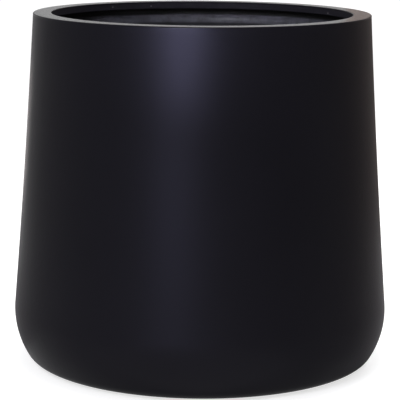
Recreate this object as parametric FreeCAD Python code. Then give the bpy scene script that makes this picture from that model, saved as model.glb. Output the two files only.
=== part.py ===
"""Tapered floor planter: a hand-laid shell with a rounded heel, an inward rim, a bonded floor and a plugged drain.

Millimetres, +Z up. The origin is on the floor, on the planter's axis. Every round piece is turned about +Z from a
half profile of (radius, level) points.
"""
import FreeCAD
import Part
import math
import os

# Outside of the body
rim_diameter = 392.0  # across the top of the rim
body_diameter = 440.0  # across the widest part of the belly
body_height = 408.0  # from the foot to the top of the rim
belly_height = 60.0  # from the foot up to the widest part
belly_radius = 97.0  # curve that carries the side round the belly
foot_edge_radius = 20.0  # tighter curve from the belly to the flat of the foot
wall_curve_radius = 13500.0  # long hollow curve of the side, from the rim down to the belly
rim_edge_radius = 1.2  # easing of the rim's outer edge

# Laminate of the shell
wall_thickness = 10.0
skin_thickness = 4.0  # what is left of the wall beside the rim ring
inside_heel_radius = 10.0  # inner corner between the wall and the foot

# Rim ring, bonded into the mouth
rim_width = 21.5  # flat top of the rim, from the outside in to the mouth
lip_height = 9.0
ring_seat_width = 2.0  # ledge in the wall that the ring rests on
lip_top_radius = 0.8
lip_bottom_radius = 1.0
groove_height = 9.0  # bare undercut below the ring, above the full thickness of the wall
shoulder_drop = 8.0  # height over which the full thickness rounds off into the undercut
bond_gap = 0.5  # glue line round the bonded pieces

# Floor of the planter
pan_thickness = 9.0
pan_lap = 20.0  # overlap of the pan on the turned-in foot
cove_width = 20.8  # flat of the foot left outside the pan for the resin cove
cove_height = 14.0  # how far the cove climbs the wall, above the pan

# Drain and its plug
drain_diameter = 26.0
drain_chamfer = 1.5
plug_clearance = 0.1  # radial, under the flange
plug_taper = 1.2  # radius lost from the flange to the tip
plug_projection = 4.0  # how far the tip stands out below the pan
plug_tip_chamfer = 1.5
plug_flange_overlap = 8.0  # the flange covers this much round the drain
plug_flange_height = 4.0
plug_neck_diameter = 9.0
plug_knob_diameter = 18.0
plug_knob_rise = 14.0  # from the flange to the middle of the knob

# Feet
pad_count = 4
pad_diameter = 26.0
pad_thickness = 2.0
pad_edge_radius = 0.6

# Levels and radii that follow from the sizes above
foot_level = pad_thickness
rim_level = foot_level + body_height
belly_level = foot_level + belly_height
rim_radius = rim_diameter / 2
mouth_radius = rim_radius - rim_width
belly_centre = body_diameter / 2 - belly_radius
rebate_radius = rim_radius - skin_thickness
groove_radius = rebate_radius - ring_seat_width
ring_seat_level = rim_level - lip_height
drain_radius = drain_diameter / 2
pan_level = foot_level + wall_thickness
pan_top = pan_level + pan_thickness
CUT_MARGIN = 1.0  # cutting tools run past the faces that they open
SAME_PLACE = 1e-4  # two positions count as one within this distance


def point(radius, level):
    """A point of a half profile."""
    return FreeCAD.Vector(radius, 0, level)


def on_circle(centre, radius, degrees):
    """The point of a circle at an angle above the outward direction."""
    turn = math.radians(degrees)
    return centre + point(radius * math.cos(turn), radius * math.sin(turn))


def line(start, end):
    """A straight edge."""
    return Part.LineSegment(start, end).toShape()


def arc(centre, radius, start, end):
    """A round edge between two angles of a circle."""
    middle = on_circle(centre, radius, (start + end) / 2)
    return Part.Arc(on_circle(centre, radius, start), middle, on_circle(centre, radius, end)).toShape()


def corner_points(edges):
    """First and last point of a run of edges."""
    return edges[0].valueAt(edges[0].FirstParameter), edges[-1].valueAt(edges[-1].LastParameter)


def turned(edges):
    """The solid that a closed half profile makes about +Z."""
    face = Part.Face(Part.Wire(edges))
    return face.revolve(FreeCAD.Vector(), FreeCAD.Vector(0, 0, 1), 360)


def closed_by_axis(edges):
    """A run of edges closed straight to the axis at both of its ends."""
    start, end = corner_points(edges)
    top, bottom = point(0, start.z), point(0, end.z)
    return [line(top, start), *edges, line(end, bottom), line(bottom, top)]


def ring_edges(shape, radius, level):
    """The round edges of a shape at a radius and a level."""
    found = []
    for edge in shape.Edges:
        place = edge.valueAt(edge.FirstParameter)
        if abs(place.z - level) < SAME_PLACE and abs(math.hypot(place.x, place.y) - radius) < SAME_PLACE:
            found.append(edge)
    return found


def angle_from(centre, place):
    """Degrees above the outward direction at which a point lies from a centre."""
    return math.degrees(math.atan2(place.z - centre.z, place.x - centre.x))


def wall_centre():
    """Centre of the side's hollow curve, which passes through the rim and runs smoothly into the belly."""
    rim = point(rim_radius, rim_level)
    across = rim - point(belly_centre, belly_level)
    to_belly = wall_curve_radius + belly_radius
    reach = (across.Length**2 + to_belly**2 - wall_curve_radius**2) / (2 * across.Length)
    turn = math.degrees(math.acos(reach / to_belly))
    start = point(belly_centre, belly_level)
    return on_circle(start, to_belly, angle_from(start, rim) - turn)


def wall_radius(inset, level):
    """Radius of the side at a level, set in from the outside by a thickness."""
    centre = wall_centre()
    return centre.x - math.sqrt((wall_curve_radius + inset) ** 2 - (level - centre.z) ** 2)


def side_outline(inset, heel_radius, top=point(rim_radius, rim_level)):
    """Side, belly and heel from the rim down to the flat of the foot, set in from the outside by a thickness.

    The side starts square to its curve from the point at the top.
    """
    wall = wall_centre()
    belly = point(belly_centre, belly_level)
    curve = belly_radius - inset
    floor = foot_level + inset
    drop = belly_level - floor - heel_radius
    reach = curve - heel_radius
    heel = point(belly_centre + math.sqrt(reach**2 - drop**2), floor + heel_radius)
    rim_angle = angle_from(wall, top) % 360
    belly_angle = angle_from(belly, wall)
    heel_angle = angle_from(belly, heel)
    return [
        arc(wall, wall_curve_radius + inset, rim_angle, belly_angle + 180),
        arc(belly, curve, belly_angle, heel_angle),
        arc(heel, heel_radius, heel_angle, -90),
    ]


def outside_outline():
    """The eased edge of the rim, and the side, belly and heel down to the flat of the foot."""
    level = rim_level - rim_edge_radius
    edge = point(wall_radius(rim_edge_radius, level), level)
    easing = arc(edge, rim_edge_radius, 90, angle_from(edge, wall_centre()))
    return [easing, *side_outline(0, foot_edge_radius, edge)]


def foot_flat_radius():
    """Radius at which the heel runs into the flat of the foot."""
    return corner_points(side_outline(0, foot_edge_radius))[1].x


def pan_radius():
    """Radius of the pan, which leaves the cove's width to the inner corner of the wall."""
    return corner_points(side_outline(wall_thickness, inside_heel_radius))[1].x - cove_width


def foot_opening_radius():
    """Radius of the opening in the turned-in foot, which the pan laps over."""
    return pan_radius() - pan_lap


def mouth_cut():
    """What the wall loses at the mouth: the ring's rebate, the undercut and the rounded shoulder below it."""
    shoulder_level = ring_seat_level - groove_height
    wall_level = shoulder_level - shoulder_drop
    groove_lean = wall_radius(0, shoulder_level) - wall_radius(0, ring_seat_level)
    shoulder_top = point(groove_radius + groove_lean, shoulder_level)
    shoulder_foot = point(wall_radius(wall_thickness, wall_level), wall_level)
    lean = angle_from(shoulder_foot, wall_centre())
    chord = shoulder_top - shoulder_foot
    depth = chord.x * math.cos(math.radians(lean)) + chord.z * math.sin(math.radians(lean))
    shoulder_radius = chord.Length**2 / (2 * depth)
    shoulder = on_circle(shoulder_foot, shoulder_radius, lean)
    top = rim_level + CUT_MARGIN
    corners = [
        shoulder_top,
        point(groove_radius, ring_seat_level),
        point(rebate_radius, ring_seat_level),
        point(rebate_radius, top),
        point(0, top),
        point(0, wall_level),
        shoulder_foot,
    ]
    straight = [line(a, b) for a, b in zip(corners, corners[1:])]
    return turned([*straight, arc(shoulder, shoulder_radius, lean + 180, angle_from(shoulder, shoulder_top))])


def wall_shell():
    """Outer wall with its belly, heel and turned-in foot, opened at the mouth and below the pan."""
    shell = turned(closed_by_axis(outside_outline()))
    shell = shell.cut(turned(closed_by_axis(side_outline(wall_thickness, inside_heel_radius))))
    shell = shell.cut(mouth_cut())
    opening = Part.makeCylinder(
        foot_opening_radius(), wall_thickness + 2 * CUT_MARGIN, point(0, foot_level - CUT_MARGIN)
    )
    return shell.cut(opening)


def rim_ring():
    """Flat ring that makes the inward lip. It drops into the wall's rebate and rests on the ledge."""
    outside = rebate_radius - bond_gap
    top_centre = point(mouth_radius + lip_top_radius, rim_level - lip_top_radius)
    bottom_centre = point(mouth_radius + lip_bottom_radius, ring_seat_level + lip_bottom_radius)
    return turned(
        [
            line(point(outside, ring_seat_level), point(outside, rim_level)),
            line(point(outside, rim_level), on_circle(top_centre, lip_top_radius, 90)),
            arc(top_centre, lip_top_radius, 90, 180),
            line(on_circle(top_centre, lip_top_radius, 180), on_circle(bottom_centre, lip_bottom_radius, 180)),
            arc(bottom_centre, lip_bottom_radius, 180, 270),
            line(on_circle(bottom_centre, lip_bottom_radius, 270), point(outside, ring_seat_level)),
        ]
    )


def base_pan():
    """Floor disc, let in through the mouth and lapped on the turned-in foot, with the drain through its middle."""
    pan = Part.makeCylinder(pan_radius(), pan_thickness, point(0, pan_level))
    drain = Part.makeCylinder(drain_radius, pan_thickness + 2 * CUT_MARGIN, point(0, pan_level - CUT_MARGIN))
    pan = pan.cut(drain)
    return pan.makeChamfer(drain_chamfer, ring_edges(pan, drain_radius, pan_level))


def base_cove():
    """Resin cove that seals the floor to the wall: it fills the heel outside the pan and sweeps up the wall."""
    heel = side_outline(wall_thickness + bond_gap, inside_heel_radius - bond_gap)[-1]
    heel_start, heel_end = corner_points([heel])
    belly = point(belly_centre, belly_level)
    curve = belly_radius - wall_thickness - bond_gap
    heel_angle = angle_from(belly, heel_start)
    top_angle = -math.degrees(math.asin((belly_level - pan_top - cove_height) / curve))
    pan_edge = point(pan_radius() + bond_gap, pan_top)
    sweep = on_circle(belly, curve, top_angle) - pan_edge
    sweep_radius = sweep.Length**2 / (2 * sweep.z)
    sweep_turn = 2 * math.degrees(math.atan2(sweep.z, sweep.x))
    foot_edge = point(heel_end.x, pan_level)
    foot_start = point(pan_edge.x, pan_level)
    return turned(
        [
            arc(pan_edge + point(0, sweep_radius), sweep_radius, -90, sweep_turn - 90),
            arc(belly, curve, top_angle, heel_angle),
            heel,
            line(heel_end, foot_edge),
            line(foot_edge, foot_start),
            line(foot_start, pan_edge),
        ]
    )


def drain_plug():
    """Rubber plug: a tapered stem in the drain, a round-edged flange on the floor and a knob to pull it by."""
    stem_radius = drain_radius - plug_clearance
    tip_radius = stem_radius - plug_taper
    tip_level = pan_level - plug_projection
    half_flange = plug_flange_height / 2
    flange_edge = point(drain_radius + plug_flange_overlap - half_flange, pan_top + half_flange)
    flange_top = pan_top + plug_flange_height
    knob_radius = plug_knob_diameter / 2
    neck_radius = plug_neck_diameter / 2
    knob = point(0, flange_top + plug_knob_rise)
    neck_angle = -math.degrees(math.acos(neck_radius / knob_radius))
    tip = point(0, tip_level)
    stem = [
        tip,
        point(tip_radius - plug_tip_chamfer, tip_level),
        point(tip_radius, tip_level + plug_tip_chamfer),
        point(stem_radius, pan_top),
        on_circle(flange_edge, half_flange, -90),
    ]
    return turned(
        [
            *[line(a, b) for a, b in zip(stem, stem[1:])],
            arc(flange_edge, half_flange, -90, 90),
            line(on_circle(flange_edge, half_flange, 90), point(neck_radius, flange_top)),
            line(point(neck_radius, flange_top), on_circle(knob, knob_radius, neck_angle)),
            arc(knob, knob_radius, neck_angle, 90),
            line(on_circle(knob, knob_radius, 90), tip),
        ]
    )


def foot_pad(number):
    """Round rubber pad under the foot, its place set by its number."""
    turn = math.radians(360 / pad_count * (number - 0.5))
    circle = (foot_opening_radius() + foot_flat_radius()) / 2
    pad = Part.makeCylinder(pad_diameter / 2, pad_thickness)
    pad = pad.makeFillet(pad_edge_radius, ring_edges(pad, pad_diameter / 2, 0))
    pad.translate(FreeCAD.Vector(circle * math.cos(turn), circle * math.sin(turn), 0))
    return pad


def main():
    """Builds every piece and writes each one to its own file."""
    os.makedirs("parts", exist_ok=True)
    pieces = {
        "wall_shell": wall_shell(),
        "rim_ring": rim_ring(),
        "base_pan": base_pan(),
        "base_cove": base_cove(),
        "drain_plug": drain_plug(),
    }
    for number in range(1, pad_count + 1):
        pieces[f"foot_pad_{number}"] = foot_pad(number)
    for name, shape in pieces.items():
        shape.exportStep(f"parts/{name}.step")
        print(name, "valid" if shape.isValid() else "INVALID", len(shape.Solids), f"{shape.Volume / 1000:.1f} cm3")


main()
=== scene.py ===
"""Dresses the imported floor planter: paint outside, laminate and a sealed floor inside, a rubber plug and pads.

Metres, +Z up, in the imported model's own frame.
"""
import logging
import math
from dataclasses import dataclass, field
from enum import Enum
from functools import cached_property
from typing import Any

import bmesh
import bpy
from mathutils import Matrix, Vector


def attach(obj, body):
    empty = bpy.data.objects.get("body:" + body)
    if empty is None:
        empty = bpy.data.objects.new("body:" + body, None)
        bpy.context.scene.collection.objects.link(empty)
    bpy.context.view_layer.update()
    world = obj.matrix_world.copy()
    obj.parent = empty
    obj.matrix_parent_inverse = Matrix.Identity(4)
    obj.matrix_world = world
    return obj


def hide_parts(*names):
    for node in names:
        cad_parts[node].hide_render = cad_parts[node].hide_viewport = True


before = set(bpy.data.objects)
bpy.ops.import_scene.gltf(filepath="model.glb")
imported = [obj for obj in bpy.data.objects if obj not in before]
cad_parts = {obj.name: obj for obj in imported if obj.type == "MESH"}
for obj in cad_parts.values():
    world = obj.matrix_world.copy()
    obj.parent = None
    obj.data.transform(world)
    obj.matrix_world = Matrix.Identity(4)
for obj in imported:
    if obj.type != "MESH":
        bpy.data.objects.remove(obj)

Point = tuple[float, float]
Point3 = tuple[float, float, float]
Tone = tuple[float, float, float, float]
Socket = bpy.types.NodeSocket
Sockets = dict[str | int, Any]
Material = bpy.types.Material
Piece = bpy.types.Object

LOG = logging.getLogger("planter")
MM = 0.001
SAME_POINT = 0.01 * MM  # profile points closer than this are one point
WELD = 0.004 * MM  # turned points closer than this are joined
CREASE = 38.0  # degrees between two faces, above which their edge stays sharp
WEIGHTS = ("lumps", "wave", "gloss_and_sheen", "dust_and_sheen", "finish", "strands")
SOCKETS = {int: "NodeSocketInt", float: "NodeSocketFloat", type(None): "NodeSocketMaterial"}
WHITE = (1.0, 1.0, 1.0, 1.0)
COOL = (0.62, 0.61, 1.0)


class Body(Enum):
    """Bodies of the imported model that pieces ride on."""

    PLANTER = "planter"
    PLUG = "drain_plug"


class Surface(Enum):
    """Which of a piece's finishes a stretch of its profile has."""

    FIRST = 0.0
    SECOND = 1.0
    THIRD = 2.0

    @property
    def label(self) -> str:
        """The turning tree's input for this finish."""
        return f"{self.name.title()} Finish"


class Reach(Enum):
    """Which kind of shading a lamp takes part in."""

    ALL = "all"
    SHEEN = "gloss alone"
    MATTE = "no gloss"


@dataclass(frozen=True)
class Stretch:
    """A run of profile points with one finish.

    lumps and wave weight the piece's hand-laid lumps and long waves, and strands the loose fibres laid on it.
    gloss_and_sheen weights the smoothness of rubbed paint and of wet resin; on the laminate it also lifts the tone,
    which is a painted highlight on the shoulder and painted shade on the inner wall where it is low. dust_and_sheen
    weights the grey overspray_and_sheen tone and its specks; on the lip's face that paler tone is partly dust and
    partly a painted sheen. The gloss_and_sheen weight runs evenly to gloss_and_sheen_end where it is given.
    """

    points: tuple[Point, ...]
    surface: Surface = Surface.FIRST
    lumps: float = 0.0
    wave: float = 0.0
    gloss_and_sheen: float = 0.0
    dust_and_sheen: float = 0.0
    strands: float = 0.0
    gloss_and_sheen_end: float | None = None

    def weights(self, number: int) -> tuple[float, ...]:
        """The weights at one of the points.

        Args:
            number: The point's place in the run.

        Returns:
            The weights, in the order of WEIGHTS.
        """
        end = self.gloss_and_sheen if self.gloss_and_sheen_end is None else self.gloss_and_sheen_end
        gloss_and_sheen = self.gloss_and_sheen + (end - self.gloss_and_sheen) * number / max(len(self.points) - 1, 1)
        return self.lumps, self.wave, gloss_and_sheen, self.dust_and_sheen, self.surface.value, self.strands


class NodeSketch:
    """Adds nodes to a tree, sets their sockets and joins them."""

    def __init__(self, tree: bpy.types.NodeTree) -> None:
        """Keeps the tree that the nodes go into."""
        self.tree = tree

    def fill(self, node: bpy.types.Node, sockets: Sockets) -> None:
        """Sets inputs of a node.

        Args:
            node: The node.
            sockets: Values or outputs of other nodes, by the name or number of the input.
        """
        for name, value in sockets.items():
            if isinstance(value, Socket):
                self.tree.links.new(value, node.inputs[name])
            else:
                node.inputs[name].default_value = value

    def add(self, kind: str, sockets: Sockets | None = None, **settings: Any) -> bpy.types.Node:
        """Adds one node.

        Args:
            kind: Blender's name for the type of node.
            sockets: Its inputs, as fill takes them.
            settings: Properties of the node itself.

        Returns:
            The new node.
        """
        node = self.tree.nodes.new(kind)
        for name, value in settings.items():
            setattr(node, name, value)
        self.fill(node, sockets or {})
        return node

    def out(self, kind: str, sockets: Sockets | None = None, port: str | int = 0, **settings: Any) -> Socket:
        """Adds one node and returns its output of that name or number."""
        return self.add(kind, sockets, **settings).outputs[port]

    def math(self, operation: str, *values: Any) -> Socket:
        """The result of one arithmetic step."""
        return self.out("ShaderNodeMath", dict(enumerate(values)), operation=operation)

    def between(self, weight: Socket, ends: Point) -> Socket:
        """A number that runs from the first end to the second as the weight runs from 0 to 1."""
        return self.math("ADD", self.math("MULTIPLY", weight, ends[1] - ends[0]), ends[0])

    def around(self, noise: Socket, middle: float, spread: float) -> Socket:
        """A number that strays from its middle by up to half the spread, as a noise from 0 to 1 does."""
        return self.math("ADD", self.math("MULTIPLY", self.math("SUBTRACT", noise, 0.5), spread), middle)

    def ramp(self, value: Socket, ends: Point, kind: str = "SMOOTHSTEP") -> Socket:
        """A weight that is 0 up to the first end and 1 from the second."""
        sockets = {"Value": value, "From Min": ends[0], "From Max": ends[1]}
        return self.out("ShaderNodeMapRange", sockets, interpolation_type=kind)

    def blend(self, weight: Socket, first: Any, second: Any) -> Socket:
        """A colour between two. The colour mix has them on its inputs 6 and 7 and its output 2."""
        return self.out("ShaderNodeMix", {0: weight, 6: first, 7: second}, 2, data_type="RGBA")

    def vector(self, **parts: Any) -> Socket:
        """A vector with those parts, by axis, and nothing along the others."""
        return self.out("ShaderNodeCombineXYZ", parts)

    def parts(self, vector: Socket) -> bpy.types.bpy_prop_collection:
        """The parts of a vector, by axis."""
        return self.add("ShaderNodeSeparateXYZ", {0: vector}).outputs


class ShapeTree(NodeSketch):
    """A geometry node tree with named inputs."""

    def __init__(self, name: str, inputs: dict[str, int | float | None]) -> None:
        """Starts the tree.

        Args:
            name: Name of the tree.
            inputs: First value of each named input, None for a material.
        """
        super().__init__(bpy.data.node_groups.new(name, "GeometryNodeTree"))
        face = self.tree.interface
        face.new_socket("Geometry", in_out="OUTPUT", socket_type="NodeSocketGeometry")
        face.new_socket("Geometry", in_out="INPUT", socket_type="NodeSocketGeometry")
        self.identifiers: dict[str, str] = {}
        for label, value in inputs.items():
            item = face.new_socket(label, in_out="INPUT", socket_type=SOCKETS[type(value)])
            if value is not None:
                item.default_value = value
            self.identifiers[label] = item.identifier
        self.source = self.tree.nodes.new("NodeGroupInput")

    def given(self, label: str) -> Socket:
        """The output of the tree's input of that name."""
        return self.source.outputs[label]

    def weight(self, name: str) -> Socket:
        """The weight of that name, which the points carry."""
        return self.out("GeometryNodeInputNamedAttribute", {"Name": name}, data_type="FLOAT")

    def bumps(self, size: str, detail: float) -> Socket:
        """Noise from 0 to 1 over the geometry, by the tree's seed.

        Args:
            size: The tree's input for the size of the noise's features.
            detail: How often the features are broken into finer ones.

        Returns:
            The noise.
        """
        place = self.out("GeometryNodeInputPosition")
        scale = self.math("DIVIDE", 1.0, self.given(size))
        sockets = {"Vector": place, "W": self.given("Seed"), "Scale": scale, "Detail": detail, "Roughness": 0.55}
        return self.out("ShaderNodeTexNoise", sockets, noise_dimensions="4D")

    def dressed(self, geometry: Socket, finish: str) -> Socket:
        """Geometry with its copies made real and the finish of that input."""
        real = self.out("GeometryNodeRealizeInstances", {"Geometry": geometry})
        return self.out("GeometryNodeSetMaterial", {"Geometry": real, "Material": self.given(finish)})

    def close(self, geometry: Socket) -> "ShapeTree":
        """Ends the tree with that geometry and returns the tree."""
        self.add("NodeGroupOutput", {"Geometry": geometry})
        return self

    def mesh(self, base: Piece, values: dict[str, Any]) -> bpy.types.Mesh:
        """Runs the tree on an object and takes the result as a plain mesh.

        Args:
            base: The object that the tree starts from.
            values: Values of the named inputs.

        Returns:
            The new mesh.
        """
        modifier = base.modifiers.new(self.tree.name, "NODES")
        modifier.node_group = self.tree
        for label, value in values.items():
            modifier[self.identifiers[label]] = value
        graph = bpy.context.evaluated_depsgraph_get()
        made = bpy.data.meshes.new_from_object(
            base.evaluated_get(graph), preserve_all_data_layers=True, depsgraph=graph
        )
        base.modifiers.remove(modifier)
        return made


def turned_sheet(s: ShapeTree) -> Socket:
    """Rolls a sheet with a row for each profile point round +Z.

    Args:
        s: The tree, whose geometry is a mesh of profile points in order.

    Returns:
        The turned mesh, which carries the weights of the profile points.
    """
    profile, place = s.given("Geometry"), s.out("GeometryNodeInputPosition")
    count = s.out("GeometryNodeAttributeDomainSize", {"Geometry": profile}, "Point Count", component="MESH")
    gaps = s.math("ADD", s.math("SUBTRACT", count, 1.0), s.given("Closed"))
    size = {
        "Size X": 1.0,
        "Size Y": 1.0,
        "Vertices X": s.math("ADD", s.given("Steps"), 1.0),
        "Vertices Y": s.math("ADD", gaps, 1.0),
    }
    sheet = s.out("GeometryNodeMeshGrid", size, "Mesh")
    flat = s.parts(place)
    angle = s.math("MULTIPLY", s.math("ADD", flat["X"], 0.5), math.tau)
    row = s.math("ROUND", s.math("MULTIPLY", s.math("ADD", flat["Y"], 0.5), gaps))
    row = s.math("MODULO", row, count)

    def of_row(value: Socket, kind: str) -> Socket:
        """What the profile point of a row has for that value."""
        sockets = {"Geometry": profile, "Value": value, "Index": row}
        return s.out("GeometryNodeSampleIndex", sockets, data_type=kind)

    for name in WEIGHTS:
        stored = {"Geometry": sheet, "Name": name, "Value": of_row(s.weight(name), "FLOAT")}
        sheet = s.out("GeometryNodeStoreNamedAttribute", stored, data_type="FLOAT")
    half = s.parts(of_row(place, "FLOAT_VECTOR"))
    turned = s.vector(
        X=s.math("MULTIPLY", half["X"], s.math("COSINE", angle)),
        Y=s.math("MULTIPLY", half["X"], s.math("SINE", angle)),
        Z=half["Z"],
    )
    body = s.out("GeometryNodeSetPosition", {"Geometry": sheet, "Position": turned})
    return s.out("GeometryNodeMergeByDistance", {"Geometry": body, "Distance": WELD})


def turning_tree() -> ShapeTree:
    """The tree that turns a half profile about +Z, then gives it lumps, long waves and its finishes.

    Returns:
        The tree. Its geometry is a mesh of profile points in order, which carry the stretch weights as attributes.
    """
    sizes = {
        "Steps": 360,
        "Closed": 1,
        "Lump Depth": 0.0,
        "Lump Size": 12 * MM,
        "Wave Depth": 0.0,
        "Wave Size": 100 * MM,
        "Seed": 1.0,
    }
    s = ShapeTree("turned_piece", {**sizes, **{surface.label: None for surface in Surface}})
    lump = s.math("SUBTRACT", s.bumps("Lump Size", detail=3.0), 0.5)
    lump = s.math("MULTIPLY", s.math("MULTIPLY", lump, s.given("Lump Depth")), s.weight("lumps"))
    wave = s.math("MULTIPLY", s.bumps("Wave Size", detail=1.0), s.given("Wave Depth"))
    rise = s.math("SUBTRACT", lump, s.math("MULTIPLY", wave, s.weight("wave")))
    normal = s.out("GeometryNodeInputNormal")
    offset = s.out("ShaderNodeVectorMath", {"Vector": normal, "Scale": rise}, operation="SCALE")
    body = s.out("GeometryNodeSetPosition", {"Geometry": turned_sheet(s), "Offset": offset})
    body = s.dressed(body, Surface.FIRST.label)
    for surface in (Surface.SECOND, Surface.THIRD):
        chosen = s.math("GREATER_THAN", s.weight("finish"), surface.value - 0.5)
        sockets = {"Geometry": body, "Selection": chosen, "Material": s.given(surface.label)}
        body = s.out("GeometryNodeSetMaterial", sockets)
    return s.close(body)


def strand_tree() -> ShapeTree:
    """The tree that lays short, flattened fibre bundles on the hand-laid faces of a turned piece.

    Returns:
        The tree. Its geometry is the turned piece.
    """
    sizes = {"Density": 5200.0, "Length": 28 * MM, "Thickness": 0.5 * MM, "Bend": 4 * MM, "Seed": 1}
    s = ShapeTree("laid_strands", {**sizes, "Finish": None})
    half, seed = s.math("DIVIDE", s.given("Length"), 2.0), s.given("Seed")
    bend = {
        "Resolution": 4,
        "Start": s.vector(X=s.math("MULTIPLY", half, -1.0)),
        "Middle": s.vector(Y=s.given("Bend")),
        "End": s.vector(X=half),
    }
    run = s.out("GeometryNodeCurveQuadraticBezier", bend)
    section = s.out("GeometryNodeCurvePrimitiveCircle", {"Resolution": 5, "Radius": s.given("Thickness")})
    bundle = s.out("GeometryNodeCurveToMesh", {"Curve": run, "Profile Curve": section, "Fill Caps": True})
    flat = s.out("GeometryNodeTransform", {"Geometry": bundle, "Scale": (1.0, 1.0, 0.5)})
    chosen = s.math("GREATER_THAN", s.weight("strands"), 0.5)
    faces = {"Mesh": s.given("Geometry"), "Selection": chosen, "Density": s.given("Density"), "Seed": seed}
    spread = s.add("GeometryNodeDistributePointsOnFaces", faces).outputs
    # A random number has its ends on the node's inputs 2 and 3 and comes out on its output 1.
    turn = s.out("FunctionNodeRandomValue", {2: 0.0, 3: math.tau, "Seed": seed}, 1, data_type="FLOAT")
    spin = s.out("FunctionNodeEulerToRotation", {0: s.vector(Z=turn)})
    facing = s.out("FunctionNodeRotateRotation", {0: spread["Rotation"], 1: spin}, rotation_space="LOCAL")
    copies = {"Points": spread["Points"], "Instance": flat, "Rotation": facing}
    return s.close(s.dressed(s.out("GeometryNodeInstanceOnPoints", copies), "Finish"))


def ring_tree() -> ShapeTree:
    """The tree that sets copies of a piece at equal angles round the axis.

    Returns:
        The tree. Its geometry is the piece.
    """
    s = ShapeTree("set_in_a_ring", {"Count": 4, "Radius": 168 * MM, "Start": math.pi / 4, "Finish": None})
    circle = {"Vertices": s.given("Count"), "Radius": s.given("Radius")}
    ring = s.out("GeometryNodeMeshCircle", circle, fill_type="NONE")
    ring = s.out("GeometryNodeTransform", {"Geometry": ring, "Rotation": s.vector(Z=s.given("Start"))})
    laid = s.out("GeometryNodeInstanceOnPoints", {"Points": ring, "Instance": s.given("Geometry")})
    return s.close(s.dressed(laid, "Finish"))


class FinishSketch(NodeSketch):
    """Sketches a material whose pattern lies in the piece's own coordinates."""

    def __init__(self, name: str) -> None:
        """Starts the material.

        Args:
            name: Name of the material.
        """
        self.material = bpy.data.materials.new(name)
        self.material.use_nodes = True
        super().__init__(self.material.node_tree)

    @cached_property
    def place(self) -> Socket:
        """The piece's own coordinates."""
        return self.out("ShaderNodeTexCoord", port="Object")

    def noise(self, size: float, detail: float, place: Socket | None = None) -> Socket:
        """Noise from 0 to 1 whose features are about that size, on other coordinates where they are given."""
        place = self.place if place is None else place
        return self.out("ShaderNodeTexNoise", {"Vector": place, "Scale": 1.0 / size, "Detail": detail})

    def weight(self, name: str) -> Socket:
        """The weight of that name, which the mesh carries."""
        return self.out("ShaderNodeAttribute", port="Fac", attribute_name=name)

    def bump(self, height: Socket, depth: float, **further: Any) -> Socket:
        """The normal of a bumpy face. Further inputs of the bump node are given by their names."""
        return self.out("ShaderNodeBump", {"Height": height, "Distance": depth, "Strength": 1.0, **further})

    def close(self, inputs: dict[str, Any]) -> Material:
        """Sets those inputs of the shader and returns the material."""
        self.fill(self.tree.nodes["Principled BSDF"], inputs)
        return self.material


@dataclass(frozen=True)
class MattePaint:
    """Matte black paint, sprayed on the smooth mould side of the shell.

    dust_and_sheen_patch is how much of the overspray_and_sheen tone shows, at least and at most; on the lip's face
    that paler tone is partly dust and partly a painted sheen. The three speck pairs are for a clean and a dusty
    place:
    a speck's size, the rarity from which it shows, and its strength.
    """

    name: str = "matte_black_paint"
    dark: Tone = (0.0044, 0.0041, 0.006, 1.0)
    pale: Tone = (0.0068, 0.0063, 0.009, 1.0)
    speck: Tone = (0.16, 0.15, 0.15, 1.0)
    overspray_and_sheen: Tone = (0.018, 0.017, 0.022, 1.0)
    ior: float = 1.12
    rough: float = 0.44
    rough_spread: float = 0.05
    polished: float = 0.185
    cloud_size: float = 0.13
    speck_gap: float = 0.009
    speck_size: Point = (0.035, 0.125)
    speck_rarity: Point = (0.88, 0.73)
    speck_strength: Point = (0.2, 0.8)
    dust_and_sheen_patch: Point = (0.4, 1.0)
    peel_size: float = 0.006
    peel_height: float = 0.00008
    stipple_size: float = 0.0011
    stipple_height: float = 0.00005

    def material(self) -> Material:
        """Builds the paint: cloudy black, sparse dust, painted sheen on the lip, eggshell bump and smoother rubbed
        places.

        Returns:
            The material.
        """
        s = FinishSketch(self.name)
        stipple, peel = s.noise(self.stipple_size, detail=2.0), s.noise(self.peel_size, detail=2.0)
        dust_and_sheen_weight = s.weight("dust_and_sheen")
        tone = s.blend(s.noise(self.cloud_size, detail=4.0), self.dark, self.pale)
        # Where this weight is high, on the lip's face, the paler grey tone is partly dust and partly a painted sheen.
        tone = s.blend(s.math("MULTIPLY", dust_and_sheen_weight, s.between(peel, self.dust_and_sheen_patch)), tone, self.overspray_and_sheen)
        grains = s.add("ShaderNodeTexVoronoi", {"Vector": s.place, "Scale": 1.0 / self.speck_gap}).outputs
        near = s.math("LESS_THAN", grains["Distance"], s.between(dust_and_sheen_weight, self.speck_size))
        pick = s.out("ShaderNodeSeparateColor", {0: grains["Color"]})
        rare = s.math("GREATER_THAN", pick, s.between(dust_and_sheen_weight, self.speck_rarity))
        bright = s.math("MULTIPLY", s.math("MULTIPLY", near, rare), s.between(dust_and_sheen_weight, self.speck_strength))
        rough = s.around(stipple, self.rough, self.rough_spread)
        smooth = s.math("MULTIPLY", s.weight("gloss_and_sheen"), self.polished - self.rough)
        return s.close({
            "IOR": self.ior,
            "Base Color": s.blend(bright, tone, self.speck),
            "Roughness": s.math("ADD", rough, smooth),
            "Normal": s.bump(stipple, self.stipple_height, Normal=s.bump(peel, self.peel_height)),
        })


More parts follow.
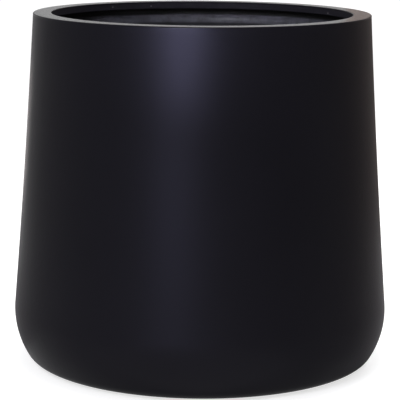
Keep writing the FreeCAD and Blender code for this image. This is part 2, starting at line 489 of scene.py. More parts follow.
@dataclass(frozen=True)
class RawLaminate:
    """Black-pigmented resin over chopped fibres, as the hand-laid side is left.

    lays holds the turn and the stretch of each layer of fibres. fibre_shade is how much of the pale tone shows off
    and on a fibre. sheen_and_shade is how much of it shows in a dry and a wet place, where gloss_and_sheen is 0 and
    1; this
    is painted light: a painted highlight on the shoulder and painted shade on the inner wall below it.
    """

    name: str
    dark: Tone = (0.004, 0.004, 0.005, 1.0)
    pale: Tone = (0.14, 0.14, 0.172, 1.0)
    ior: float = 1.3
    rough: float = 0.36
    rough_spread: float = 0.2
    dry: float = 0.4
    blotch_size: float = 0.016
    fibre_size: float = 0.0016
    fibre_height: float = 0.0003
    fibre_strength: float = 0.8
    fibre_shade: Point = (0.5, 1.1)
    sheen_and_shade: Point = (0.15, 1.0)
    lays: tuple[tuple[Point3, Point3], ...] = (
        ((0.5, 0.9, 0.3), (1.0, 1.0, 0.08)),
        ((-0.7, 0.2, 1.1), (0.08, 1.0, 1.0)),
    )

    def material(self) -> Material:
        """Builds the laminate: blotchy resin, with fibres lying in two directions under it, and painted light in its
        tone.

        Returns:
            The material.
        """
        s = FinishSketch(self.name)
        blotch, wet_and_sheen = s.noise(self.blotch_size, detail=4.0), s.weight("gloss_and_sheen")
        layers = []
        for turn, stretch in self.lays:
            laid = s.out("ShaderNodeMapping", {"Vector": s.place, "Rotation": turn, "Scale": stretch})
            layers.append(s.noise(self.fibre_size, detail=2.0, place=laid))
        fibres = s.math("MAXIMUM", *layers)
        shade = s.math("MULTIPLY", blotch, s.between(fibres, self.fibre_shade))
        # Painted light: this weight lifts the tone, a painted highlight on the shoulder and painted shade below it.
        shade = s.math("MULTIPLY", shade, s.between(wet_and_sheen, self.sheen_and_shade))
        rough = s.around(blotch, self.rough, self.rough_spread)
        return s.close({
            "IOR": self.ior,
            "Base Color": s.blend(shade, self.dark, self.pale),
            "Roughness": s.math("ADD", rough, s.math("MULTIPLY", s.math("SUBTRACT", 1.0, wet_and_sheen), self.dry)),
            "Normal": s.bump(fibres, self.fibre_height, Strength=self.fibre_strength),
        })


@dataclass(frozen=True)
class MouldedRubber:
    """Black moulded rubber with a bloom of dust."""

    name: str
    dark: Tone = (0.012, 0.012, 0.012, 1.0)
    pale: Tone = (0.035, 0.034, 0.033, 1.0)
    ior: float = 1.5
    rough: float = 0.55
    rough_spread: float = 0.2
    bloom_size: float = 0.007
    grain_size: float = 0.0006
    grain_height: float = 0.00006

    def material(self) -> Material:
        """Builds the rubber: cloudy bloom, fine grain and uneven gloss.

        Returns:
            The material.
        """
        s = FinishSketch(self.name)
        bloom = s.noise(self.bloom_size, detail=4.0)
        return s.close({
            "IOR": self.ior,
            "Base Color": s.blend(bloom, self.dark, self.pale),
            "Roughness": s.around(bloom, self.rough, self.rough_spread),
            "Normal": s.bump(s.noise(self.grain_size, detail=2.0), self.grain_height),
        })


def round_run(centre: Point, radius: float, start: float, end: float, count: int) -> tuple[Point, ...]:
    """Points along a circle between two angles in degrees, both ends included."""
    turns = [math.radians(start + (end - start) * i / count) for i in range(count + 1)]
    return tuple((centre[0] + radius * math.cos(t), centre[1] + radius * math.sin(t)) for t in turns)


def straight_run(start: Point, end: Point, count: int = 1) -> tuple[Point, ...]:
    """Points along a line, both ends included."""
    across, up = end[0] - start[0], end[1] - start[1]
    return tuple((start[0] + across * i / count, start[1] + up * i / count) for i in range(count + 1))


def angle_from(centre: Point, place: Point) -> float:
    """Degrees above the outward direction at which a point lies from a centre."""
    return math.degrees(math.atan2(place[1] - centre[1], place[0] - centre[0]))


@dataclass
class BodyLines:
    """The planter's outline: a long hollow side, a round belly and a tighter heel, set in by any thickness.

    It also holds the sizes at which the shell, the rim ring and the floor meet.
    """

    rim_radius: float = 196 * MM
    belly_out: float = 220 * MM
    belly_curve: float = 97 * MM
    belly_height: float = 60 * MM
    wall_curve: float = 13500 * MM
    foot_level: float = 2 * MM
    rim_level: float = 410 * MM
    thickness: float = 10 * MM
    inside_heel: float = 10 * MM
    seam_radius: float = 191.75 * MM
    lip_height: float = 9 * MM

    @property
    def seat(self) -> float:
        """Level of the rim ring's underside, on its seat in the shell."""
        return self.rim_level - self.lip_height

    @property
    def floor(self) -> float:
        """Level of the turned-in foot's upper face."""
        return self.foot_level + self.thickness

    @property
    def belly(self) -> Point:
        """Centre of the belly's curve."""
        return self.belly_out - self.belly_curve, self.foot_level + self.belly_height

    @property
    def wall(self) -> Point:
        """Centre of the side's long curve, which runs from the rim smoothly into the belly.

        Returns:
            The centre, far outside the planter.
        """
        across = (self.rim_radius - self.belly[0], self.rim_level - self.belly[1])
        chord = math.hypot(*across)
        reach = self.wall_curve + self.belly_curve
        along = (chord**2 + reach**2 - self.wall_curve**2) / (2 * chord)
        turn = math.atan2(across[1], across[0]) - math.acos(along / reach)
        return self.belly[0] + reach * math.cos(turn), self.belly[1] + reach * math.sin(turn)

    def side(self, inset: float, level: float) -> float:
        """Radius of the side at a level, set in by a thickness."""
        return self.wall[0] - math.sqrt((self.wall_curve + inset) ** 2 - (level - self.wall[1]) ** 2)

    def side_run(self, inset: float, top: float, count: int) -> tuple[Point, ...]:
        """Points down the side to the belly.

        Args:
            inset: The thickness by which the side is set in.
            top: The level of the first point.
            count: How many gaps the points leave.

        Returns:
            The points.
        """
        centre = self.wall
        start = angle_from(centre, (self.side(inset, top), top)) % 360
        return round_run(centre, self.wall_curve + inset, start, angle_from(self.belly, centre) + 180, count)

    def heel_centre(self, inset: float, heel: float) -> Point:
        """Centre of the heel's curve, which runs smoothly from the belly into the flat of the foot.

        Args:
            inset: The thickness by which both are set in.
            heel: The heel's radius.

        Returns:
            The centre.
        """
        floor = self.foot_level + inset + heel
        reach = self.belly_curve - inset - heel
        return self.belly[0] + math.sqrt(reach**2 - (self.belly[1] - floor) ** 2), floor

    def belly_run(self, inset: float, heel: float, belly_count: int, heel_count: int) -> tuple[Point, ...]:
        """Points round the belly and the heel to the flat of the foot.

        Args:
            inset: The thickness by which they are set in.
            heel: The heel's radius.
            belly_count: How many gaps the points leave on the belly.
            heel_count: How many they leave on the heel.

        Returns:
            The points.
        """
        centre = self.heel_centre(inset, heel)
        turn = angle_from(self.belly, centre)
        start = angle_from(self.belly, self.wall)
        belly = round_run(self.belly, self.belly_curve - inset, start, turn, belly_count)
        return belly + round_run(centre, heel, turn, -90, heel_count)[1:]


def placed(name: str, data: bpy.types.ID) -> Piece:
    """Puts a mesh, a lamp or a camera in the scene.

    Args:
        name: Name of the new object.
        data: What the object holds.

    Returns:
        The object, at the origin.
    """
    made = bpy.data.objects.new(name, data)
    bpy.context.scene.collection.objects.link(made)
    return made


def profile_object(name: str, stretches: list[Stretch]) -> Piece:
    """Makes the mesh of profile points that the turning tree starts from.

    Args:
        name: Name of the object.
        stretches: The profile in order, either way round. A point that repeats the one before it is left out.

    Returns:
        The object, in the scene, with the weights as point attributes.
    """
    rows: list[tuple[Point, tuple[float, ...]]] = []
    for stretch in stretches:
        for number, place in enumerate(stretch.points):
            if not rows or math.dist(place, rows[-1][0]) > SAME_POINT:
                rows.append((place, stretch.weights(number)))
    if math.dist(rows[0][0], rows[-1][0]) < SAME_POINT:
        rows.pop()
    # All profiles run the same way round, so that the normals point outwards when the lumps rise along them.
    ends = zip(rows, rows[1:] + rows[:1])
    if sum(a[0][0] * b[0][1] - b[0][0] * a[0][1] for a, b in ends) < 0:
        rows.reverse()
    mesh = bpy.data.meshes.new(name)
    mesh.from_pydata([(r, 0.0, z) for (r, z), _ in rows], [(i, i + 1) for i in range(len(rows) - 1)], [])
    for label, values in zip(WEIGHTS, zip(*(weights for _, weights in rows))):
        mesh.attributes.new(label, "FLOAT", "POINT").data.foreach_set("value", values)
    return placed(name, mesh)


def finished(name: str, mesh: bpy.types.Mesh) -> Piece:
    """Makes a mesh a piece with outward faces, and smooth shading except at its creases.

    Args:
        name: Name of the piece.
        mesh: Its mesh.

    Returns:
        The piece, at the origin.
    """
    mesh.name = name
    form = bmesh.new()
    form.from_mesh(mesh)
    bmesh.ops.recalc_face_normals(form, faces=form.faces)
    form.to_mesh(mesh)
    form.free()
    mesh.shade_smooth()
    mesh.set_sharp_from_angle(angle=math.radians(CREASE))
    return placed(name, mesh)


def settle(piece: Piece, body: Body, slot: str, *nodes: str) -> Piece:
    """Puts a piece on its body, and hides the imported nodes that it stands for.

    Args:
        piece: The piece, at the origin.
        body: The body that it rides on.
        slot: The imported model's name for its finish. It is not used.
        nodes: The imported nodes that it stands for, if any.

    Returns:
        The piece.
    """
    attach(piece, body.value)
    if nodes:
        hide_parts(*nodes)
    return piece


@dataclass
class Workshop:
    """The node trees and finishes that the pieces share."""

    turning: ShapeTree = field(default_factory=turning_tree)
    strands: ShapeTree = field(default_factory=strand_tree)
    ring: ShapeTree = field(default_factory=ring_tree)
    paint: Material = field(default_factory=MattePaint().material)
    laminate: Material = field(default_factory=RawLaminate("raw_black_laminate").material)
    # A less reflective laminate whose tone was set for the groove under the lip: painted shade in the undercut.
    undercut_shade_laminate: Material = field(
        default_factory=RawLaminate(
            "undercut_shade_black_laminate", dark=(0.02, 0.02, 0.02, 1.0), pale=(0.1, 0.1, 0.104, 1.0), ior=1.12
        ).material
    )
    plug_rubber: Material = field(default_factory=MouldedRubber("plug_rubber").material)
    pad_rubber: Material = field(default_factory=MouldedRubber("pad_rubber", bloom_size=0.012).material)

    def turn(self, name: str, stretches: list[Stretch], finishes: list[Material], sizes: dict[str, Any]) -> Piece:
        """Turns a profile into a finished piece.

        Args:
            name: Name of the piece.
            stretches: Its half profile.
            finishes: Materials of its surfaces, in the order of Surface.
            sizes: Further inputs of the turning tree.

        Returns:
            The piece, at the origin.
        """
        base = profile_object(name + "_profile", stretches)
        dress = {surface.label: finish for surface, finish in zip(Surface, finishes)}
        mesh = self.turning.mesh(base, {**sizes, **dress})
        scrap = base.data
        bpy.data.objects.remove(base)
        bpy.data.meshes.remove(scrap)
        return finished(name, mesh)

    def lay_strands(self, base: Piece, name: str, length: float, seed: int) -> Piece:
        """Lays fibre bundles of a length on a piece and returns them as a piece of their own."""
        return finished(name, self.strands.mesh(base, {"Length": length, "Seed": seed, "Finish": self.laminate}))


@dataclass
class WallShell:
    """Outer moulding: painted outside, hand-laid inside, with the ring's rebate and undercut at the mouth.

    edge_room is left flat beside an edge, and bare_rows is how many rows below the shoulder have no strands.
    """

    lines: BodyLines
    heel: float = 20 * MM
    edge_round: float = 1.2 * MM
    edge_room: float = 1 * MM
    groove_radius: float = 190 * MM
    groove_height: float = 9 * MM
    shoulder_drop: float = 8 * MM
    foot_opening: float = 148 * MM
    foot_round: float = 1.5 * MM
    lump_depth: float = 2.2 * MM
    lump_size: float = 14 * MM
    wave_depth: float = 0.25 * MM
    wave_size: float = 150 * MM
    strand_length: float = 26 * MM
    bare_rows: int = 16
    steps: int = 360
    seed: float = 3.7
    strand_seed: int = 11

    @property
    def shoulder(self) -> float:
        """Level of the laminate's rounded top, below the undercut."""
        return self.lines.seat - self.groove_height

    @property
    def low(self) -> float:
        """Level at which the rounded top runs out into the side."""
        return self.shoulder - self.shoulder_drop

    def outside(self) -> list[Stretch]:
        """The painted side from the seam on the rim over its edge and down to the foot.

        Returns:
            Its stretches.
        """
        lines, rim, inset = self.lines, self.lines.rim_level, 0.0
        edge_level = rim - self.edge_round
        centre = (lines.side(inset, edge_level) - self.edge_round, edge_level)
        heel = (lines.heel_centre(inset, self.heel)[0], lines.foot_level)
        opening = (self.foot_opening + self.foot_round, lines.foot_level)
        return [
            Stretch(straight_run((lines.seam_radius, rim), (centre[0], rim)), gloss_and_sheen=1.0),
            Stretch(round_run(centre, self.edge_round, 90, 0, count=7)[1:], gloss_and_sheen=0.4),
            Stretch(lines.side_run(inset, edge_level - self.edge_room, count=60), wave=1.0),
            Stretch(lines.belly_run(inset, self.heel, belly_count=22, heel_count=12), wave=1.0),
            Stretch(straight_run(heel, opening, count=6)),
        ]

    def inside(self) -> list[Stretch]:
        """The foot's opening and the hand-laid inner faces from the foot up to the shoulder.

        Returns:
            Its stretches.
        """
        lines, inset, heel = self.lines, self.lines.thickness, self.lines.inside_heel
        centre = (self.foot_opening + self.foot_round, lines.foot_level + self.foot_round)
        heel_start = (lines.heel_centre(inset, heel)[0], lines.floor)
        bottom = lines.belly_run(inset, heel, belly_count=16, heel_count=6)[::-1]
        side = lines.side_run(inset, self.low - 2 * self.edge_room, count=90)[::-1]
        laid, bare = side[:-self.bare_rows], side[-self.bare_rows:]
        return [
            Stretch(round_run(centre, self.foot_round, -90, -180, count=3)),
            Stretch(straight_run((self.foot_opening, lines.floor), heel_start), Surface.SECOND),
            Stretch(bottom, Surface.SECOND),
            # The weight falls towards the shoulder, which darkens the tone there: painted shade below the shoulder.
            Stretch(laid, Surface.SECOND, lumps=1.0, gloss_and_sheen=0.5, gloss_and_sheen_end=0.12, strands=1.0),
            Stretch(bare, Surface.SECOND, lumps=1.0, gloss_and_sheen=0.12, gloss_and_sheen_end=0.06),
        ]

    def mouth(self) -> list[Stretch]:
        """The hand-laid side from below the shoulder up through the undercut to the ring's seat and the rim.

        Returns:
            Its stretches.
        """
        lines, seat, seam = self.lines, self.lines.seat, self.lines.seam_radius
        lean = lines.side(inset=0.0, level=self.shoulder) - lines.side(inset=0.0, level=seat)
        top = (self.groove_radius + lean, self.shoulder)
        foot = (lines.side(lines.thickness, self.low), self.low)
        tilt = angle_from(foot, lines.wall)
        turn = math.radians(tilt)
        rise = (top[0] - foot[0], top[1] - foot[1])
        depth = rise[0] * math.cos(turn) + rise[1] * math.sin(turn)
        curve = (rise[0] ** 2 + rise[1] ** 2) / (2 * depth)
        centre = (foot[0] + curve * math.cos(turn), foot[1] + curve * math.sin(turn))
        rounded = round_run(centre, curve, tilt + 180, angle_from(centre, top), count=6)
        groove = straight_run(top, (self.groove_radius, seat - self.edge_room), count=4)
        return [
            # The shoulder's full weight pales its tone: a painted highlight.
            Stretch(rounded, Surface.SECOND, lumps=1.0, gloss_and_sheen=1.0),
            # The groove and the seat under the ring take the undercut laminate: painted shade in the undercut.
            Stretch(groove, Surface.THIRD, lumps=0.35),
            Stretch(straight_run((self.groove_radius, seat), (seam, seat)), Surface.THIRD),
            Stretch(straight_run((seam, seat), (seam, lines.rim_level)), gloss_and_sheen=1.0),
        ]

    def make(self, shop: Workshop) -> list[Piece]:
        """Builds the shell and the fibres that show on its hand-laid side.

        Args:
            shop: The trees and finishes.

        Returns:
            The two pieces.
        """
        sizes = {
            "Steps": self.steps,
            "Lump Depth": self.lump_depth,
            "Lump Size": self.lump_size,
            "Wave Depth": self.wave_depth,
            "Wave Size": self.wave_size,
            "Seed": self.seed,
        }
        outline = self.outside() + self.inside() + self.mouth()
        shell = shop.turn("wall_shell_painted", outline, [shop.paint, shop.laminate, shop.undercut_shade_laminate], sizes)
        strands = shop.lay_strands(shell, "wall_strands", self.strand_length, self.strand_seed)
        return [
            settle(shell, Body.PLANTER, "black_paint", "wall_shell"),
            settle(strands, Body.PLANTER, "raw_laminate"),
        ]


@dataclass
class RimRing:
    """Flat ring that makes the inward lip, painted with the shell."""

    lines: BodyLines
    mouth_radius: float = 174.5 * MM
    top_round: float = 0.8 * MM
    bottom_round: float = 1 * MM
    wave_depth: float = 0.15 * MM
    wave_size: float = 60 * MM
    steps: int = 360
    seed: float = 8.1

    def outline(self) -> list[Stretch]:
        """The ring's section, from the seam in over the lip and back underneath.

        Returns:
            Its stretches.
        """
        top, bottom = self.lines.rim_level, self.lines.seat
        seam, mouth = self.lines.seam_radius, self.mouth_radius
        upper = (mouth + self.top_round, top - self.top_round)
        lower = (mouth + self.bottom_round, bottom + self.bottom_round)
        return [
            Stretch(straight_run((seam, bottom), (seam, top), count=2), gloss_and_sheen=1.0),
            Stretch(straight_run((seam, top), (upper[0], top), count=6)[1:], gloss_and_sheen=1.0),
            Stretch(round_run(upper, self.top_round, 90, 180, count=6)[1:], gloss_and_sheen=0.4),
            # The lip's face and its lower round take the paler grey tone: partly dust, partly a painted sheen.
            Stretch(straight_run((mouth, upper[1]), (mouth, lower[1]), count=4)[1:], wave=1.0, dust_and_sheen=1.0),
            Stretch(round_run(lower, self.bottom_round, 180, 270, count=6)[1:], wave=0.5, dust_and_sheen=0.8),
            Stretch(straight_run((lower[0], bottom), (seam, bottom), count=3)[1:-1]),
        ]

    def make(self, shop: Workshop) -> list[Piece]:
        """Builds the ring.

        Args:
            shop: The trees and finishes.

        Returns:
            The ring alone.
        """
        sizes = {"Steps": self.steps, "Wave Depth": self.wave_depth, "Wave Size": self.wave_size, "Seed": self.seed}
        ring = shop.turn("rim_ring_painted", self.outline(), [shop.paint], sizes)
        return [settle(ring, Body.PLANTER, "black_paint", "rim_ring")]


@dataclass
class PlanterFloor:
    """Laminated floor disc with its ground drain seat, and the resin cove that seals it to the wall.

    bare_strip is the width left without lumps beside the drain's seat and at the pan's edge, and under_edge and
    under_drain are the same underneath. bare_rows is how many rows at each edge of the cove have no strands.
    """

    lines: BodyLines
    gap: float = 0.25 * MM
    pan_radius: float = 168 * MM
    pan_thickness: float = 9 * MM
    drain_radius: float = 13 * MM
    drain_chamfer: float = 1.5 * MM
    drain_ease: float = 0.5 * MM
    seat_radius: float = 30 * MM
    bare_strip: float = 4 * MM
    under_edge: float = 18 * MM
    under_drain: float = 8 * MM
    cove_height: float = 14 * MM
    lump_depth: float = 1.4 * MM
    lump_size: float = 16 * MM
    strand_length: float = 28 * MM
    bare_rows: int = 2
    steps: int = 288
    pan_seed: float = 21.4
    cove_seed: float = 33.9
    pan_strand_seed: int = 5
    cove_strand_seed: int = 6

    @property
    def level(self) -> float:
        """Underside of the pan, on the turned-in foot."""
        return self.lines.floor

    @property
    def top(self) -> float:
        """Upper face of the pan."""
        return self.level + self.pan_thickness

    def pan_outline(self) -> list[Stretch]:
        """The pan's section, from the drain out over the top and back underneath.

        Returns:
            Its stretches.
        """
        edge, drain, seat = self.pan_radius, self.drain_radius, self.seat_radius
        level, top = self.level, self.top
        laid = straight_run((seat + self.bare_strip, top), (edge - self.bare_strip, top), count=44)
        under = straight_run((edge - self.under_edge, level), (drain + self.under_drain, level), count=36)
        return [
            Stretch(straight_run((drain, level + self.drain_chamfer), (drain, top - self.drain_ease), count=3)),
            Stretch(straight_run((drain + self.drain_ease, top), (seat, top), count=5)),
            Stretch(laid, lumps=1.0, gloss_and_sheen=0.5, strands=1.0),
            Stretch(straight_run((edge, top), (edge, level), count=3)),
            Stretch(under, lumps=0.3),
            Stretch(((drain + self.drain_chamfer, level),)),
        ]

    def cove_outline(self) -> list[Stretch]:
        """The cove's section, from the pan's edge up the wall and back round the heel.

        Returns:
            Its stretches.
        """
        lines, belly = self.lines, self.lines.belly
        inset = lines.thickness + self.gap
        inside_heel = lines.inside_heel - self.gap
        curve = lines.belly_curve - inset
        start = (self.pan_radius + self.gap, self.top)
        drop = belly[1] - self.top - self.cove_height
        turn = -math.degrees(math.asin(drop / curve))
        rise = (belly[0] + curve * math.cos(math.radians(turn)) - start[0], belly[1] - drop - start[1])
        sweep = (rise[0] ** 2 + rise[1] ** 2) / (2 * rise[1])
        end = 2 * math.degrees(math.atan2(rise[1], rise[0])) - 90
        heel = lines.heel_centre(inset, inside_heel)
        heel_turn = angle_from(belly, heel)
        smear, bare = round_run((start[0], start[1] + sweep), sweep, -90, end, count=18), self.bare_rows
        return [
            Stretch(smear[:bare], lumps=0.4),
            Stretch(smear[bare:-bare], lumps=1.0, gloss_and_sheen=0.5, strands=1.0),
            Stretch(smear[-bare:], lumps=0.3),
            Stretch(round_run(belly, curve, turn, heel_turn, count=8)[1:]),
            Stretch(round_run(heel, inside_heel, heel_turn, -90, count=5)[1:]),
            Stretch(((heel[0], self.level), (start[0], self.level))),
        ]

    def make(self, shop: Workshop) -> list[Piece]:
        """Builds the pan, the cove and the fibres that show on them.

        Args:
            shop: The trees and finishes.

        Returns:
            The four pieces.
        """
        rough = {"Steps": self.steps, "Lump Depth": self.lump_depth, "Lump Size": self.lump_size}
        finishes = [shop.laminate]
        pan = shop.turn("floor_pan", self.pan_outline(), finishes, {**rough, "Seed": self.pan_seed})
        cove = shop.turn("floor_cove", self.cove_outline(), finishes, {**rough, "Seed": self.cove_seed})
        pan_strands = shop.lay_strands(pan, "floor_strands", self.strand_length, self.pan_strand_seed)
        cove_strands = shop.lay_strands(cove, "cove_strands", self.strand_length, self.cove_strand_seed)
        return [
            settle(pan, Body.PLANTER, "raw_laminate", "base_pan"),
            settle(cove, Body.PLANTER, "raw_laminate", "base_cove"),
            settle(pan_strands, Body.PLANTER, "raw_laminate"),
            settle(cove_strands, Body.PLANTER, "raw_laminate"),
        ]


@dataclass
class DrainPlug:
    """Rubber plug with a tapered stem, a round-edged flange and a pull knob.

    knob_start is how many degrees above the neck's own meeting with the knob the knob's rows start.
    """

    floor: PlanterFloor
    clearance: float = 0.1 * MM
    taper: float = 1.2 * MM
    projection: float = 4 * MM
    tip_chamfer: float = 1.5 * MM
    stem_ease: float = 0.2 * MM
    overlap: float = 8 * MM
    flange_height: float = 4 * MM
    dish_radius: float = 15 * MM
    dish_slope: float = 1 * MM
    dish_depth: float = 0.5 * MM
    neck_radius: float = 4.5 * MM
    neck_round: float = 2 * MM
    knob_radius: float = 9 * MM
    knob_rise: float = 14 * MM
    knob_start: float = 4.0
    steps: int = 128

    def outline(self) -> list[Stretch]:
        """The plug's half section, from the middle of the tip up to the top of the knob.

        Returns:
            Its stretches.
        """
        base = self.floor.top
        tip = self.floor.level - self.projection
        stem = self.floor.drain_radius - self.clearance
        point = stem - self.taper
        half = self.flange_height / 2
        edge = (self.floor.drain_radius + self.overlap - half, base + half)
        top = base + self.flange_height
        dish = top - self.dish_depth
        neck = (self.neck_radius + self.neck_round, dish + self.neck_round)
        knob = (0.0, top + self.knob_rise)
        turn = -math.degrees(math.acos(self.neck_radius / self.knob_radius)) + self.knob_start
        return [
            Stretch(straight_run((0.0, tip), (point - self.tip_chamfer, tip), count=4)),
            Stretch(straight_run((point, tip + self.tip_chamfer), (stem, base - self.stem_ease), count=6)),
            Stretch(straight_run((stem + self.stem_ease, base), (edge[0], base), count=3)),
            Stretch(round_run(edge, half, -90, 90, count=12)[1:]),
            Stretch(((self.dish_radius + self.dish_slope, top), (self.dish_radius, dish))),
            Stretch(round_run(neck, self.neck_round, -90, -180, count=6)),
            Stretch(round_run(knob, self.knob_radius, turn, 90, count=22)),
        ]

    def make(self, shop: Workshop) -> list[Piece]:
        """Builds the plug.

        Args:
            shop: The trees and finishes.

        Returns:
            The plug alone.
        """
        sizes = {"Steps": self.steps, "Closed": 0}
        plug = shop.turn("drain_plug_rubber", self.outline(), [shop.plug_rubber], sizes)
        return [settle(plug, Body.PLUG, "plug_rubber", "drain_plug")]


@dataclass
class FootPads:
    """Rubber pads under the foot, grooved to grip the floor."""

    count: int = 4
    ring_radius: float = 168.4 * MM
    radius: float = 13 * MM
    thickness: float = 2 * MM
    edge_round: float = 0.6 * MM
    grooves: tuple[float, ...] = (4 * MM, 7 * MM, 10 * MM)
    groove_width: float = 0.9 * MM
    groove_depth: float = 0.5 * MM
    steps: int = 64

    def outline(self) -> list[Stretch]:
        """One pad's half section, from the middle of its underside out and over the top.

        Returns:
            Its stretches.
        """
        under: list[Point] = [(0.0, 0.0)]
        side, slope = self.groove_width / 2, self.groove_depth / 2
        for middle in self.grooves:
            under += [
                (middle - side, 0.0),
                (middle - side + slope, self.groove_depth),
                (middle + side - slope, self.groove_depth),
                (middle + side, 0.0),
            ]
        corner = (self.radius - self.edge_round, self.edge_round)
        return [
            Stretch(tuple(under)),
            Stretch(round_run(corner, self.edge_round, -90, 0, count=4)),
            Stretch(((self.radius, self.thickness), (0.0, self.thickness))),
        ]

    def make(self, shop: Workshop) -> list[Piece]:
        """Builds one pad and sets it round the foot.

        Args:
            shop: The trees and finishes.

        Returns:
            All the pads, as one piece.
        """
        pad = shop.turn("one_pad", self.outline(), [shop.pad_rubber], {"Steps": self.steps, "Closed": 0})
        ring = {"Count": self.count, "Radius": self.ring_radius, "Start": math.pi / self.count}
        pads = finished("foot_pads_rubber", shop.ring.mesh(pad, {**ring, "Finish": shop.pad_rubber}))
        bpy.data.objects.remove(pad)
        return [settle(pads, Body.PLANTER, "pad_rubber", *(f"foot_pad_{i + 1}" for i in range(self.count)))]


@dataclass(frozen=True)
class SoftLamp:
    """A soft rectangular lamp, which the camera doesn't see. beam is the width of its light in degrees."""

    name: str
    place: Point3
    aim: Point3
    power: float
    size: Point
    tint: Point3 = (1.0, 1.0, 1.0)
    reach: Reach = Reach.ALL
    beam: float = 180.0

    def hang(self) -> None:
        """Hangs the lamp in the scene, turned to its aim."""
        data = bpy.data.lights.new(self.name, "AREA")
        data.shape = "RECTANGLE"
        data.size, data.size_y = self.size
        data.energy = self.power
        data.spread = math.radians(self.beam)
        data.color = self.tint
        made = placed(self.name, data)
        made.location = self.place
        made.rotation_euler = (Vector(self.aim) - Vector(self.place)).to_track_quat("-Z", "Y").to_euler()
        made.visible_camera = False
        made.visible_diffuse = self.reach is not Reach.SHEEN
        made.visible_glossy = self.reach is not Reach.MATTE


@dataclass(frozen=True)
class Card:
    """A curved card, upright behind the planter or flat on the floor round it, which only reflections show.

    start and end are its edges in degrees from straight behind, towards the right. near and far are the radius and
    the level of its two long edges. end_cover is how dense the card still is at its end, to which it fades.
    """

    name: str
    start: float
    end: float
    tone: Tone
    near: Point = (1.0, 0.0)
    far: Point = (1.0, 0.7)
    end_cover: float = 1.0
    folds: int = 8
    rough: float = 0.9

    def stand(self) -> None:
        """Sets the card in its place round the planter."""
        step = (self.end - self.start) / self.folds
        turns = [math.radians(self.start + step * i) for i in range(self.folds + 1)]
        edges = [(r * math.sin(t), r * math.cos(t), level) for r, level in (self.near, self.far) for t in turns]
        count = len(turns)
        mesh = bpy.data.meshes.new(self.name)
        mesh.from_pydata(edges, [], [(i, i + 1, count + i + 1, count + i) for i in range(self.folds)])
        fade = [1.0 + (self.end_cover - 1.0) * i / self.folds for i in range(count)]
        mesh.attributes.new("cover", "FLOAT", "POINT").data.foreach_set("value", fade + fade)
        s = FinishSketch(self.name)
        mesh.materials.append(s.close({"Base Color": self.tone, "Roughness": self.rough, "Alpha": s.weight("cover")}))
        made = placed(self.name, mesh)
        made.visible_camera = False
        made.visible_diffuse = False
        made.visible_shadow = False


@dataclass(frozen=True)
class PhotoCamera:
    """The camera of the photograph.

    centre_x and centre_y are the pixel at which its target shows, and elevation and roll are in degrees. sight is how
    far it sees.
    """

    image_size: float = 400.0
    focal_pixels: float = 1820.0
    distance: float = 2.15
    elevation: float = 9.958
    target_level: float = 0.2062
    centre_x: float = 200.87
    centre_y: float = 185.52
    roll: float = 0.479
    sensor: float = 36.0
    sight: float = 200.0

    def stand(self) -> None:
        """Places the camera where the photograph was taken from."""
        data = bpy.data.cameras.new("photo_camera")
        data.sensor_width = self.sensor
        data.lens = self.focal_pixels / self.image_size * self.sensor
        data.clip_end = self.sight
        made = placed("photo_camera", data)
        rise = math.radians(self.elevation)
        back = Vector((0.0, -math.cos(rise), math.sin(rise)))
        made.location = Vector((0.0, 0.0, self.target_level)) + back * self.distance
        half = self.image_size / 2
        pan = math.atan((self.centre_x - half) / self.focal_pixels)
        dip = math.atan((half - self.centre_y) / self.focal_pixels)
        facing = Matrix.Rotation(math.pi / 2 - rise, 4, "X")
        facing = facing @ Matrix.Rotation(math.radians(self.roll), 4, "Z")
        facing = facing @ Matrix.Rotation(pan, 4, "Y") @ Matrix.Rotation(-dip, 4, "X")
        made.rotation_euler = facing.to_euler()
        bpy.context.scene.camera = made


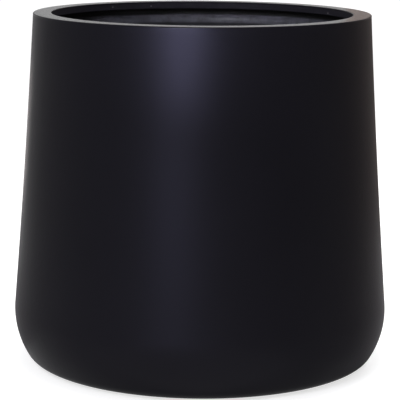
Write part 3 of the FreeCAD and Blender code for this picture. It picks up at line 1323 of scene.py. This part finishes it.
@dataclass
class Studio:
    """Pale floor, walls, dim ceiling and pale overhead, the lamps and the cards, and the camera.

    wall_top and overhead are the heights, and far_side the stretch on the right, over which one tone of the
    surroundings runs into the next, as parts of a direction of length 1.
    """

    camera: PhotoCamera = PhotoCamera()
    wall_top: Point = (0.06, 0.19)
    far_side: Point = (0.15, 0.75)
    far_wall: Tone = (0.4, 0.34, 0.3, 1.0)
    left_tone: Tone = (0.36, 0.36, 0.37, 1.0)
    right_tone: Tone = (0.13, 0.115, 0.105, 1.0)
    overhead: Point = (0.45, 0.8)
    overhead_tone: Tone = (0.95, 0.95, 0.97, 1.0)
    floor_tone: Tone = (0.5, 0.5, 0.5, 1.0)
    floor_glow: float = 0.7
    floor_half: float = 30.0
    cards: tuple[Card, ...] = (
        Card("brown_card", 14.0, 90.0, (0.57, 0.48, 0.43, 1.0)),
        Card("grey_card", -46.0, -80.0, (0.73, 0.71, 0.68, 1.0)),
        # The three flat cards are painted shadow: a darker floor round the planter, as its shadow falls, which only
        # reflections show.
        Card("floor_shadow_card", 5.0, 105.0, (0.66, 0.63, 0.63, 1.0), near=(0.2, 0.001), far=(1.0, 0.001)),
        Card("left_floor_shadow_card", 5.0, -96.0, (0.61, 0.59, 0.59, 1.0), near=(0.2, 0.001), far=(0.7, 0.001)),
        Card("shade_card", 105.0, 155.0, (0.52, 0.5, 0.52, 1.0), near=(0.2, 0.001), far=(0.35, 0.001), end_cover=0.0),
    )
    lamps: tuple[SoftLamp, ...] = (
        SoftLamp(
            "front_sheen", place=(-0.12, -0.683, 0.36), aim=(-0.03, -0.19, 0.503), power=0.95, size=(0.2, 0.06),
            tint=COOL, reach=Reach.SHEEN, beam=46.0,
        ),
        SoftLamp(
            "front_glow", place=(-0.42, -1.571, 0.25), aim=(-0.03, -0.2, 0.22), power=14.5, size=(0.55, 0.2),
            tint=COOL, reach=Reach.SHEEN,
        ),
        SoftLamp(
            "back_sheen", place=(0.1, 0.85, 0.25), aim=(0.02, 0.2, 0.25), power=12.0, size=(0.12, 0.2),
            tint=COOL, reach=Reach.SHEEN,
        ),
        SoftLamp(
            "left_sheen", place=(-0.56, 1.06, 0.11), aim=(-0.2, 0.0, 0.28), power=0.48, size=(0.1, 0.26),
            tint=(1.0, 0.9, 0.88), reach=Reach.SHEEN,
        ),
        SoftLamp("floor_fill", place=(-0.05, -0.39, 0.004), aim=(-0.05, -0.39, 1.0), power=0.27, size=(0.44, 0.36)),
        SoftLamp(
            "key_lamp", place=(-0.7, -1.7, 1.3), aim=(0.0, 0.0, 0.3), power=20.0, size=(0.8, 0.5),
            tint=(0.93, 0.94, 1.0),
        ),
        SoftLamp(
            "mouth_lamp", place=(-0.05, -1.9, 1.0), aim=(0.03, 0.18, 0.4), power=0.1, size=(0.3, 0.3),
            tint=(0.9, 0.9, 1.0), reach=Reach.MATTE, beam=12.0,
        ),
        SoftLamp(
            "back_lamp", place=(1.0, 1.5, 1.3), aim=(0.0, 0.0, 0.3), power=18.0, size=(0.8, 0.5),
            reach=Reach.MATTE,
        ),
        SoftLamp("top_lamp", place=(0.0, 0.0, 1.9), aim=(0.0, 0.0, 0.0), power=14.0, size=(0.8, 0.8)),
    )

    def surroundings(self) -> None:
        """Lights the scene from a wall all round, a dim ceiling and a pale patch overhead.

        The wall is white, and brown on the right, where the ceiling is darker and warmer too.
        """
        world = bpy.data.worlds.new("white_studio")
        world.use_nodes = True
        bpy.context.scene.world = world
        s = NodeSketch(world.node_tree)
        s.tree.nodes.clear()
        way = s.parts(s.out("ShaderNodeTexCoord", port="Generated"))
        wall = s.blend(s.ramp(way["X"], self.far_side), WHITE, self.far_wall)
        ceiling = s.blend(s.ramp(way["X"], (-1.0, 1.0), "LINEAR"), self.left_tone, self.right_tone)
        tone = s.blend(s.ramp(way["Z"], self.wall_top), wall, ceiling)
        tone = s.blend(s.ramp(way["Z"], self.overhead), tone, self.overhead_tone)
        s.add("ShaderNodeOutputWorld", {"Surface": s.out("ShaderNodeBackground", {"Color": tone})})

    def floor(self) -> None:
        """Lays the pale floor, which takes the planter's shadow and can be seen through from below."""
        half = self.floor_half
        corners = [(-half, -half, 0.0), (half, -half, 0.0), (half, half, 0.0), (-half, half, 0.0)]
        mesh = bpy.data.meshes.new("studio_floor")
        mesh.from_pydata(corners, [], [(0, 1, 2, 3)])
        s = FinishSketch("pale_floor")
        s.tree.nodes.clear()
        path = s.add("ShaderNodeLightPath").outputs
        seen = s.math("MAXIMUM", path["Is Camera Ray"], path["Is Glossy Ray"])
        seen = s.math("MAXIMUM", seen, path["Is Transmission Ray"])
        glow = {"Color": WHITE, "Strength": s.math("MULTIPLY", seen, self.floor_glow)}
        matte = s.out("ShaderNodeBsdfDiffuse", {"Color": self.floor_tone})
        top = s.out("ShaderNodeAddShader", {0: matte, 1: s.out("ShaderNodeEmission", glow)})
        below = s.out("ShaderNodeNewGeometry", port="Backfacing")
        both = s.out("ShaderNodeMixShader", {0: below, 1: top, 2: s.out("ShaderNodeBsdfTransparent")})
        s.add("ShaderNodeOutputMaterial", {"Surface": both})
        mesh.materials.append(s.material)
        placed("studio_floor", mesh)

    def build(self) -> None:
        """Sets up the whole studio."""
        bpy.context.scene.view_settings.view_transform = "Standard"
        self.surroundings()
        self.floor()
        for lamp in self.lamps:
            lamp.hang()
        for card in self.cards:
            card.stand()
        self.camera.stand()


def main() -> None:
    """Builds every piece in order and reports it, then sets up the studio."""
    logging.basicConfig(level=logging.INFO, format="%(message)s")
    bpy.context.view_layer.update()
    shop = Workshop()
    lines = BodyLines()
    floor = PlanterFloor(lines)
    for assembly in (WallShell(lines), RimRing(lines), floor, DrainPlug(floor), FootPads()):
        for piece in assembly.make(shop):
            LOG.info("%s: %d faces", piece.name, len(piece.data.polygons))
    Studio().build()


if __name__ == "__main__":
    main()
